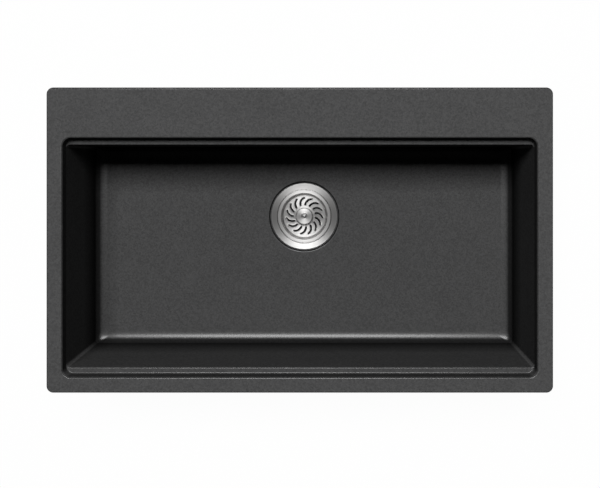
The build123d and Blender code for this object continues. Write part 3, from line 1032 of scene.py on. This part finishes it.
class Nodes:
    """Adds nodes to a shader tree and hands on the outputs that the next nodes use."""

    def __init__(self, tree):
        self.tree = tree

    def feed(self, node, inputs):
        """Sets a node's inputs, or links those whose value is another node's output."""
        for socket, value in inputs.items():
            if isinstance(value, bpy.types.NodeSocket):
                self.tree.links.new(value, node.inputs[socket])
            else:
                node.inputs[socket].default_value = value

    def add(self, kind, inputs=None, **settings):
        made = self.tree.nodes.new(f"ShaderNode{kind}")
        for name, value in settings.items():
            setattr(made, name, value)
        self.feed(made, inputs or {})
        return made

    def group(self, name, inputs):
        """Outputs of a shared node group, placed with values of its own."""
        return self.add("Group", inputs, node_tree=shared_group(name)).outputs

    def place(self):
        return self.add("TexCoord").outputs["Object"]

    def normal(self):
        return self.add("NewGeometry").outputs["Normal"]

    def split(self, vector):
        return self.add("SeparateXYZ", {0: vector}).outputs

    def noise(self, place, scale, detail):
        return self.add("TexNoise", {"Vector": place, "Scale": scale, "Detail": detail}).outputs["Fac"]

    def lines(self, along, scale, detail):
        """Noise along one direction only."""
        made = self.add("TexNoise", {"W": along, "Scale": scale, "Detail": detail}, noise_dimensions="1D")
        return made.outputs["Fac"]

    def math(self, operation, first, second=0.0):
        return self.add("Math", {0: first, 1: second}, operation=operation).outputs[0]

    def product(self, first, *others):
        for other in others:
            first = self.math("MULTIPLY", first, other)
        return first

    def vector(self, operation, first, second=(0.0, 0.0, 0.0)):
        made = self.add("VectorMath", {0: first, 1: second}, operation=operation)
        return made.outputs["Value" if operation in ("LENGTH", "DOT_PRODUCT") else "Vector"]

    def scaled(self, colour, amount):
        return self.add("VectorMath", {0: colour, "Scale": amount}, operation="SCALE").outputs["Vector"]

    def spread(self, value, low, high, start=0.0, end=1.0):
        """Value from one number to another while another value goes from its start to its end."""
        made = self.add("MapRange", {
            "Value": value, "From Min": start, "From Max": end, "To Min": low, "To Max": high})
        return made.outputs["Result"]

    def mix(self, factor, first, last, kind="FLOAT"):
        return self.add("Mix", {"Factor": factor, "A": first, "B": last}, data_type=kind).outputs["Result"]

    def tinted(self, factor, colour, low, high):
        """Colour that varies between two shares of its brightness."""
        return self.mix(factor, shaded(colour, low), shaded(colour, high), "RGBA")

    def upward(self, steep, level):
        """1 on faces that slope less than one angle and 0 on those steeper than another, in degrees."""
        limits = {"Steep": math.cos(math.radians(steep)), "Level": math.cos(math.radians(level))}
        return self.group("upward_faces", limits)["Mask"]

    def round_drain(self):
        """Distance from the drain's axis and height, in metres."""
        place = self.place()
        across = self.vector("SUBTRACT", place, (DRAIN[0] * MM, DRAIN[1] * MM, 0.0))
        flat = self.vector("MULTIPLY", across, (1.0, 1.0, 0.0))
        return self.vector("LENGTH", flat), self.split(place)["Z"]

    def bump(self, height, strength, distance):
        inputs = {"Height": height, "Strength": strength, "Distance": distance}
        return self.add("Bump", inputs).outputs["Normal"]


def shaded(colour, amount):
    return (*[min(1.0, channel * amount) for channel in colour], 1.0)


def build_grain(nodes, given):
    """Fine grain with slow patches, used by the rubber, foam, fibre, nylon, cast and plated finishes."""
    place = nodes.place()
    grain = nodes.noise(place, given["Fineness"], detail=3.0)
    patches = nodes.noise(place, given["Patches"], detail=4.0)
    mean = nodes.product(nodes.math("ADD", grain, patches), 0.5)
    return {"Shade": mean, "Height": grain}


def build_brushing(nodes, given):
    """Brush lines that run round the drain's axis, used by the stainless finishes and the brass."""
    coarser = 0.15
    radius, level = nodes.round_drain()
    along = nodes.math("ADD", radius, nodes.product(level, given["Slope"]))
    fine = nodes.lines(along, given["Lines"], detail=4.0)
    coarse = nodes.lines(along, nodes.product(given["Lines"], coarser), detail=2.0)
    return {"Line": fine, "Band": coarse}


def build_upward(nodes, given):
    """Faces that look up, used for the stone's painted light and shade and its polish, and where the steel
    is brushed.
    """
    mask = nodes.add("MapRange", {
        "Value": nodes.split(nodes.normal())["Z"], "From Min": given["Steep"], "From Max": given["Level"]},
        interpolation_type="SMOOTHSTEP")
    return {"Mask": mask.outputs["Result"]}


# Shared node groups: what builds them, their inputs and their outputs
GROUPS = {
    "fine_grain": (build_grain, {"Fineness": 2000.0, "Patches": 30.0}, ("Shade", "Height")),
    "turned_brushing": (build_brushing, {"Lines": 1500.0, "Slope": 0.8}, ("Line", "Band")),
    "upward_faces": (build_upward, {"Steep": 0.5, "Level": 1.0}, ("Mask",)),
}


def shared_group(name):
    """One of the shared node groups, built when it is first needed."""
    if name not in bpy.data.node_groups:
        build, inputs, outputs = GROUPS[name]
        group = bpy.data.node_groups.new(name, "ShaderNodeTree")
        for socket, value in inputs.items():
            made = group.interface.new_socket(socket, in_out="INPUT", socket_type="NodeSocketFloat")
            made.default_value = value
        for socket in outputs:
            group.interface.new_socket(socket, in_out="OUTPUT", socket_type="NodeSocketFloat")
        given = group.nodes.new("NodeGroupInput").outputs
        result = group.nodes.new("NodeGroupOutput")
        nodes = Nodes(group)
        nodes.feed(result, build(nodes, given))
    return bpy.data.node_groups[name]


def empty_tree(owner, output):
    """Nodes of a material or world with only its output node, and that node."""
    owner.use_nodes = True
    owner.node_tree.nodes.clear()
    nodes = Nodes(owner.node_tree)
    return nodes, nodes.add(output)


def new_material():
    """Material, its nodes and its principled shader."""
    material = bpy.data.materials.new("finish")
    nodes, surface = empty_tree(material, "OutputMaterial")
    shader = nodes.add("BsdfPrincipled")
    nodes.feed(surface, {"Surface": shader.outputs["BSDF"]})
    return material, nodes, shader


def painted_wall_shading(nodes, place, level, painted_slope_shade):
    """Painted light and shade on the stone's steep faces: painted shade fading down the bowl and darker at
    the rim, and a painted highlight at its corners.
    """
    foot_painted_shade = 0.45
    top_painted_light = 2.0
    fade_low = FLOOR_LOW + 15.0
    fade_high = FLOOR_LOW + 85.0
    rim_shade_share = 0.6
    rim_low = LEDGE_TOP - 1.0
    rim_high = LEDGE_TOP + 1.0
    corner_highlight_share = 2.0
    normal = nodes.normal()
    facing = nodes.split(normal)
    looks_in = nodes.math("LESS_THAN", nodes.vector("DOT_PRODUCT", normal, place), 0.0)
    # Painted shade: steep faces that look into the bowl darken towards the floor and are painted brighter
    # higher up
    fade = nodes.spread(level, foot_painted_shade, top_painted_light, fade_low * MM, fade_high * MM)
    inside = nodes.spread(looks_in, 1.0, fade)
    dark = 1.0 - painted_slope_shade
    # Painted shade on the upright faces above the ledges
    painted_rim_shade = nodes.spread(level, dark, rim_shade_share * dark, rim_low * MM, rim_high * MM)
    # Painted highlight along the bowl's upright corners
    diagonal = nodes.math("ABSOLUTE", nodes.product(facing["X"], facing["Y"]))
    painted_corner_highlight = nodes.spread(diagonal, 1.0, corner_highlight_share, start=0.2, end=0.45)
    return nodes.product(inside, painted_rim_shade, painted_corner_highlight)


def granite_finish(settings):
    """Dark composite of grains and flecks with painted light and shade: painted paler on faces that look up,
    painted darker lower down, and polished on its rounded edges.
    """
    contrast = 0.27
    cloudiness = 0.07
    dust_fineness = 2.3
    fleck_rarity = 12.0
    deep_painted_shade = 0.885
    rim_depth = 4.0
    roughness_spread = 0.05
    material, nodes, shader = new_material()
    place = nodes.place()
    level = nodes.split(place)["Z"]
    scale = 1.0 / settings.grain_size
    grains = nodes.add("TexVoronoi", {"Vector": place, "Scale": scale}).outputs
    dust = nodes.add("TexVoronoi", {"Vector": place, "Scale": scale * dust_fineness}).outputs
    grain_tone = nodes.add("SeparateColor", {0: grains["Color"]}).outputs["Red"]
    dust_tone = nodes.add("SeparateColor", {0: dust["Color"]}).outputs["Green"]
    speckle = nodes.mix(0.5, grain_tone, dust_tone)
    base = nodes.tinted(speckle, settings.stone_colour, 1.0 - contrast, 1.0 + contrast)
    fleck = nodes.math("MAXIMUM", nodes.spread(grain_tone, -fleck_rarity, 1.0), 0.0)
    flecked = nodes.mix(fleck, base, (*settings.fleck_colour, 1.0), "RGBA")
    cloud = nodes.spread(nodes.noise(place, scale=22.0, detail=3.0), 1.0 - cloudiness, 1.0 + cloudiness)
    # Painted light and shade: steep faces are darkened, faces that look up keep full brightness
    steep_painted_shading = painted_wall_shading(nodes, place, level, settings.painted_slope_shade)
    painted_slope_shade = nodes.spread(nodes.upward(steep=30.0, level=12.0), steep_painted_shading, 1.0)
    # Painted shade: the stone is painted darker from 4 mm below the rim's top down to the ledges and
    # everything below them
    depth = nodes.spread(level, deep_painted_shade, 1.0, LEDGE_TOP * MM, (RIM_TOP - rim_depth) * MM)
    rough = settings.roughness
    curved = nodes.spread(nodes.upward(steep=5.0, level=1.0), settings.polish, 0.0)
    nodes.feed(shader, {
        "Base Color": nodes.scaled(flecked, nodes.product(cloud, painted_slope_shade, depth)),
        "Roughness": nodes.spread(dust_tone, rough - roughness_spread, rough + roughness_spread),
        "Coat Weight": nodes.product(nodes.upward(steep=50.0, level=30.0), curved),
        "Coat Roughness": settings.polish_roughness,
        "Specular IOR Level": 0.0,
        "Normal": nodes.bump(dust["Distance"], strength=0.12, distance=0.0002),
    })
    return material


def brushed_finish(settings):
    """Stainless steel brushed in circles on its flats and coarser on the basket, with painted shade
    darkening it down in the cup.
    """
    cup_painted_shade = 0.12
    basket_tone = 1.45
    basket_coarseness = 0.11
    bend_roughness = 0.26
    material, nodes, shader = new_material()
    lines = nodes.group("turned_brushing", {"Lines": 1.0 / settings.brushing})
    colour = nodes.tinted(lines["Band"], settings.brushed_colour, low=0.88, high=1.08)
    radius, level = nodes.round_drain()
    # Painted shade: the steel inside the cup, below the basket, is darkened
    inside = nodes.math("LESS_THAN", radius, (CUP_RADIUS + SHEET / 4) * MM)
    low = nodes.math("LESS_THAN", level, (box_of("basket").low - 1.0) * MM)
    cup_shade_mask = nodes.product(inside, low)
    on_basket = nodes.spread(radius, 1.0, 0.0, (STEP_RADIUS - 1.0) * MM, STEP_RADIUS * MM)
    tone = nodes.product(nodes.spread(cup_shade_mask, 1.0, cup_painted_shade), nodes.spread(on_basket, 1.0, basket_tone))
    coarse = nodes.spread(on_basket, 0.0, basket_coarseness)
    brushed = nodes.math("ADD", nodes.spread(lines["Line"], low=0.38, high=0.5), coarse)
    nodes.feed(shader, {
        "Base Color": nodes.scaled(colour, tone),
        "Roughness": nodes.mix(nodes.upward(steep=50.0, level=20.0), bend_roughness, brushed),
        "Metallic": 1.0,
        "Anisotropic": 0.82,
        "Anisotropic Rotation": 0.25,
        "Tangent": nodes.add("Tangent", direction_type="RADIAL", axis="Z").outputs["Tangent"],
        "Normal": nodes.bump(lines["Line"], strength=0.08, distance=0.0002),
    })
    return material


def satin_finish(colour, rough_low, rough_high, lines_per_metre):
    """Turned metal with faint tool lines."""
    material, nodes, shader = new_material()
    lines = nodes.group("turned_brushing", {"Lines": lines_per_metre})
    nodes.feed(shader, {
        "Base Color": nodes.tinted(lines["Band"], colour, low=0.9, high=1.08),
        "Roughness": nodes.spread(lines["Line"], rough_low, rough_high),
        "Metallic": 1.0,
        "Normal": nodes.bump(lines["Line"], strength=0.1, distance=0.0001),
    })
    return material


def grained_finish(colour, contrast, rough, fineness, patches, bump, metallic=0.0):
    """Cast, plated or moulded surface with a fine grain and slow patches."""
    roughness_spread = 0.1
    material, nodes, shader = new_material()
    grain = nodes.group("fine_grain", {"Fineness": fineness, "Patches": patches})
    nodes.feed(shader, {
        "Base Color": nodes.tinted(grain["Shade"], colour, 1 - contrast, 1 + contrast),
        "Roughness": nodes.spread(grain["Shade"], rough - roughness_spread, rough + roughness_spread),
        "Metallic": metallic,
        "Normal": nodes.bump(grain["Height"], strength=bump, distance=0.0003),
    })
    return material


def finish(name):
    """One of the sink's finishes by the name of its material slot, made when it is first needed."""
    made_name = f"{name}_finish"
    if made_name in bpy.data.materials:
        return bpy.data.materials[made_name]
    scene = bpy.context.scene
    steel = scene.sink_steel
    seals = scene.sink_seals
    # Colour, least and greatest roughness, and lines in a metre
    turned_metals = {
        "plain_stainless": (steel.satin_colour, 0.28, 0.42, 2500.0),
        "brass_insert": (steel.brass_colour, 0.25, 0.4, 3000.0),
    }
    # Colour, contrast, roughness, fineness, patches, bump and, for metals, metallic
    grained = {
        "zinc_nut": (steel.zinc_colour, 0.2, 0.5, 900.0, 40.0, 0.25, 1.0),
        "galvanised_steel": (steel.plated_colour, 0.18, 0.38, 350.0, 120.0, 0.06, 1.0),
        "black_rubber": (seals.rubber_colour, 0.25, 0.6, 1500.0, 25.0, 0.15),
        "foam": (seals.foam_colour, 0.35, 0.85, 1100.0, 30.0, 0.6),
        "fibre": (seals.fibre_colour, 0.3, 0.75, 700.0, 50.0, 0.4),
        "white_nylon": (seals.nylon_colour, 0.05, 0.42, 1800.0, 20.0, 0.05),
    }
    if name == "granite":
        made = granite_finish(scene.sink_basin)
    elif name == "brushed_stainless":
        made = brushed_finish(steel)
    elif name in turned_metals:
        made = satin_finish(*turned_metals[name])
    else:
        made = grained_finish(*grained[name])
    made.name = made_name
    return made


class SINK_OT_basin(bpy.types.Operator):
    """Build the granite basin with its rim, ledges, bowl, drain seat, clip bosses and tap rings"""

    bl_idname = "sink.basin"
    bl_label = "Basin"

    def execute(self, context):
        basin = make_object("granite_basin", basin_shell(context.scene.sink_basin))
        for name, shell in (("bosses", boss_shell()), ("ribs", rib_shell())):
            stiffener = make_object(name, shell)
            combine(stiffener, make_object("opening", opening_shell()), "DIFFERENCE")
            combine(basin, stiffener, "UNION")
        combine(basin, make_object("holes", basin_cutter_shell()), "DIFFERENCE")
        finish_piece(basin, "sink_basin")
        return {"FINISHED"}


class SINK_OT_rim_seal(bpy.types.Operator):
    """Finish the foam tape under the rim"""

    bl_idname = "sink.rim_seal"
    bl_label = "Rim seal"

    def execute(self, context):
        dress_node("rim_seal")
        return {"FINISHED"}


class SINK_OT_clips(bpy.types.Operator):
    """Build the bent swing clips along the front and the back"""

    bl_idname = "sink.clips"
    bl_label = "Clips"

    def execute(self, context):
        for node in CLIP_NODES:
            make_piece(node.replace("clip", "bent_clip"), clip_shell(node), node)
        return {"FINISHED"}


class SINK_OT_clip_fixings(bpy.types.Operator):
    """Build the clips' screws, washers and threaded inserts"""

    bl_idname = "sink.clip_fixings"
    bl_label = "Clip fixings"

    def execute(self, context):
        make_piece("hexagon_screws", screw_shell(), "clip_screws")
        washer_bore = SCREW_RADIUS + SCREW_CLEARANCE
        washers = fixing_ring_shell("clip_washers", outer=5.0, inner=washer_bore, edge=0.25)
        make_piece("screw_washers", washers, "clip_washers")
        inserts = fixing_ring_shell("clip_inserts", outer=3.5, inner=SCREW_RADIUS + 0.05, edge=0.15)
        make_piece("threaded_inserts", inserts, "clip_inserts")
        return {"FINISHED"}


class SINK_OT_strainer_body(bpy.types.Operator):
    """Build the strainer's brushed flange and threaded cup"""

    bl_idname = "sink.strainer_body"
    bl_label = "Strainer body"

    def execute(self, context):
        make_piece("strainer_cup", strainer_shell(), "strainer_body")
        return {"FINISHED"}


class SINK_OT_outlet(bpy.types.Operator):
    """Build the threaded outlet and finish the cross piece inside it"""

    bl_idname = "sink.outlet"
    bl_label = "Outlet"

    def execute(self, context):
        make_piece("threaded_outlet", outlet_shell(context.scene.sink_steel), "outlet_pipe")
        dress_node("socket_spider")
        return {"FINISHED"}


class SINK_OT_seals(bpy.types.Operator):
    """Build the rubber rings and the fibre washer that seal the strainer in the floor"""

    bl_idname = "sink.seals"
    bl_label = "Strainer seals"

    def execute(self, context):
        around_cup = CUP_RADIUS + SHEET + RING_CLEARANCE
        around_step = STEP_RADIUS + SHEET + RING_CLEARANCE
        for name, node, inner, edge in (
            ("flange_ring", "flange_seal", around_step, 0.3),
            ("floor_gasket", "under_gasket", around_cup, 0.6),
            ("fibre_ring", "friction_washer", around_cup, 0.2),
        ):
            make_piece(name, ring_shell(node, inner, edge), node)
        return {"FINISHED"}


class SINK_OT_lock_nut(bpy.types.Operator):
    """Build the lugged nut under the floor"""

    bl_idname = "sink.lock_nut"
    bl_label = "Lock nut"

    def execute(self, context):
        make_piece("lugged_nut", lock_nut_shell(), "lock_nut")
        return {"FINISHED"}


class SINK_OT_basket(bpy.types.Operator):
    """Build the slotted basket"""

    bl_idname = "sink.basket"
    bl_label = "Basket"

    def execute(self, context):
        make_piece("slotted_basket", basket_shell(context.scene.sink_steel), "basket")
        return {"FINISHED"}


class SINK_OT_knob(bpy.types.Operator):
    """Build the knob, the post and the nut and washer on it"""

    bl_idname = "sink.knob"
    bl_label = "Knob and post"

    def execute(self, context):
        make_piece("round_knob", knob_shell(), "lift_knob")
        make_piece("knob_post", post_shell(), "basket_post")
        make_piece("hexagon_nut", post_nut_shell(), "post_nut")
        washer = ring_shell("plug_washer", POST_BORE, edge=0.2, steps=72)
        make_piece("stopper_washer", washer, "plug_washer")
        return {"FINISHED"}


class SINK_OT_stopper(bpy.types.Operator):
    """Build the rubber stopper and the post's nylon tip"""

    bl_idname = "sink.stopper"
    bl_label = "Stopper"

    def execute(self, context):
        make_piece("rubber_stopper", stopper_shell(), "stopper_plug")
        make_piece("nylon_tip", tip_shell(), "snap_tip")
        return {"FINISHED"}


def floor_finish(settings):
    """Pale matt floor, nearly white in view with the sink's shadow on it, and clear when seen from below."""
    white_share = 0.97
    material = bpy.data.materials.new("pale_floor")
    nodes, surface = empty_tree(material, "OutputMaterial")
    paper = nodes.noise(nodes.place(), scale=3.0, detail=2.0)
    colour = nodes.tinted(paper, settings.floor_colour, low=0.98, high=1.0)
    matt = nodes.add("BsdfDiffuse", {"Color": colour})
    white = nodes.add("Emission", {"Strength": 1.0})
    rays = nodes.add("LightPath").outputs
    seen = nodes.math("MAXIMUM", rays["Is Camera Ray"], rays["Is Glossy Ray"])
    seen = nodes.math("MAXIMUM", seen, rays["Is Transmission Ray"])
    above = nodes.add(
        "MixShader", {0: nodes.product(seen, white_share), 1: matt.outputs[0], 2: white.outputs[0]})
    from_below = nodes.product(rays["Is Camera Ray"], nodes.add("NewGeometry").outputs["Backfacing"])
    clear = nodes.add("BsdfTransparent")
    shown = nodes.add("MixShader", {0: from_below, 1: above.outputs[0], 2: clear.outputs[0]})
    nodes.feed(surface, {"Surface": shown.outputs[0]})
    return material


class SINK_OT_stage(bpy.types.Operator):
    """Set up the pale floor, the studio light and the camera above the sink"""

    bl_idname = "sink.stage"
    bl_label = "Stage"

    def execute(self, context):
        scene = context.scene
        settings = scene.sink_stage
        self.lay_floor(settings)
        self.hang_light(scene, settings)
        self.set_world(scene, settings)
        self.place_camera(scene, settings)
        scene.view_settings.view_transform = "Standard"
        return {"FINISHED"}

    def lay_floor(self, settings):
        half = 6000.0
        gap = 0.5
        level = CAD_BOX[0].z / MM - gap
        shell = Shell()
        corners = ((-half, -half), (half, -half), (half, half), (-half, half))
        shell.cap(shell.loop([(x, y, level) for x, y in corners]))
        floor = make_object("pale_floor", shell)
        floor.data.materials.append(floor_finish(settings))

    def hang_light(self, scene, settings):
        """Softbox high above the bowl, sized by the angles that it covers."""
        distance = settings.key_distance
        lamp = bpy.data.lights.new("key_light", "AREA")
        lamp.shape = "RECTANGLE"
        lamp.size = 2 * distance * math.tan(settings.key_width / 2)
        lamp.size_y = 2 * distance * math.tan(settings.key_depth / 2)
        lamp.energy = settings.key_strength * math.pi * distance ** 2
        key = bpy.data.objects.new("key_light", lamp)
        turn = Euler((-settings.key_from_back, -settings.key_from_left, 0.0))
        middle = Vector((DRAIN[0], (BOWL.front + BOWL.back) / 2, FLOOR_LOW / 2)) * MM
        key.rotation_euler = turn
        key.location = middle + turn.to_matrix() @ Vector((0.0, 0.0, distance))
        scene.collection.objects.link(key)

    def set_world(self, scene, settings):
        """White to the camera, a faint fill for the light, and pale low walls for mirror images."""
        wall_low = 0.05
        wall_high = 0.45
        world = bpy.data.worlds.new("studio")
        nodes, surface = empty_tree(world, "OutputWorld")
        rays = nodes.add("LightPath").outputs
        height = nodes.split(nodes.add("TexCoord").outputs["Generated"])["Z"]
        walls = nodes.spread(height, 1.0, settings.fill, wall_low, wall_high)
        mirrored = nodes.math("MAXIMUM", rays["Is Glossy Ray"], rays["Is Transmission Ray"])
        shown = nodes.mix(rays["Is Camera Ray"], nodes.mix(mirrored, settings.fill, walls), 1.0)
        light = nodes.add("Background", {"Strength": shown})
        nodes.feed(surface, {"Surface": light.outputs[0]})
        scene.world = world

    def place_camera(self, scene, settings):
        """Camera that looks straight down at its foot, with the picture's centre shifted beside the foot."""
        foot_x, foot_y = 0.055, 0.135
        centre_x, centre_y = 0.0004, -0.0057
        view = bpy.data.cameras.new("camera")
        view.sensor_width = 36.0
        view.lens = view.sensor_width * settings.camera_height / settings.view_width
        view.shift_x = (centre_x - foot_x) / settings.view_width
        view.shift_y = (centre_y - foot_y) / settings.view_width
        camera = bpy.data.objects.new("camera", view)
        camera.location = (foot_x, foot_y, RIM_TOP * MM + settings.camera_height)
        scene.collection.objects.link(camera)
        scene.camera = camera


class SINK_PT_pieces(bpy.types.Panel):
    """Pieces of the sink and their settings"""

    bl_idname = "SINK_PT_pieces"
    bl_label = "Granite sink"
    bl_space_type = "VIEW_3D"
    bl_region_type = "UI"
    bl_category = "Sink"

    def draw(self, context):
        for name in SETTINGS:
            settings = getattr(context.scene, name)
            box = self.layout.box()
            for setting in settings.bl_rna.properties.keys():
                if setting not in ("rna_type", "name"):
                    box.prop(settings, setting)
        for operator in OPERATORS:
            self.layout.operator(operator.bl_idname)


SETTINGS = {
    "sink_basin": BasinSettings, "sink_steel": SteelSettings,
    "sink_seals": SealSettings, "sink_stage": StageSettings,
}
OPERATORS = (
    SINK_OT_basin, SINK_OT_rim_seal, SINK_OT_clips, SINK_OT_clip_fixings, SINK_OT_strainer_body,
    SINK_OT_outlet, SINK_OT_seals, SINK_OT_lock_nut, SINK_OT_basket, SINK_OT_knob, SINK_OT_stopper,
    SINK_OT_stage,
)
CLASSES = (*SETTINGS.values(), *OPERATORS, SINK_PT_pieces)


def register():
    for kind in CLASSES:
        bpy.utils.register_class(kind)
    for name, kind in SETTINGS.items():
        setattr(bpy.types.Scene, name, PointerProperty(type=kind))


def unregister():
    for name in SETTINGS:
        delattr(bpy.types.Scene, name)
    for kind in reversed(CLASSES):
        bpy.utils.unregister_class(kind)


def main():
    register()
    bpy.ops.sink.basin()
    bpy.ops.sink.rim_seal()
    bpy.ops.sink.clips()
    bpy.ops.sink.clip_fixings()
    bpy.ops.sink.strainer_body()
    bpy.ops.sink.outlet()
    bpy.ops.sink.seals()
    bpy.ops.sink.lock_nut()
    bpy.ops.sink.basket()
    bpy.ops.sink.knob()
    bpy.ops.sink.stopper()
    bpy.ops.sink.stage()


if __name__ == "__main__":
    main()
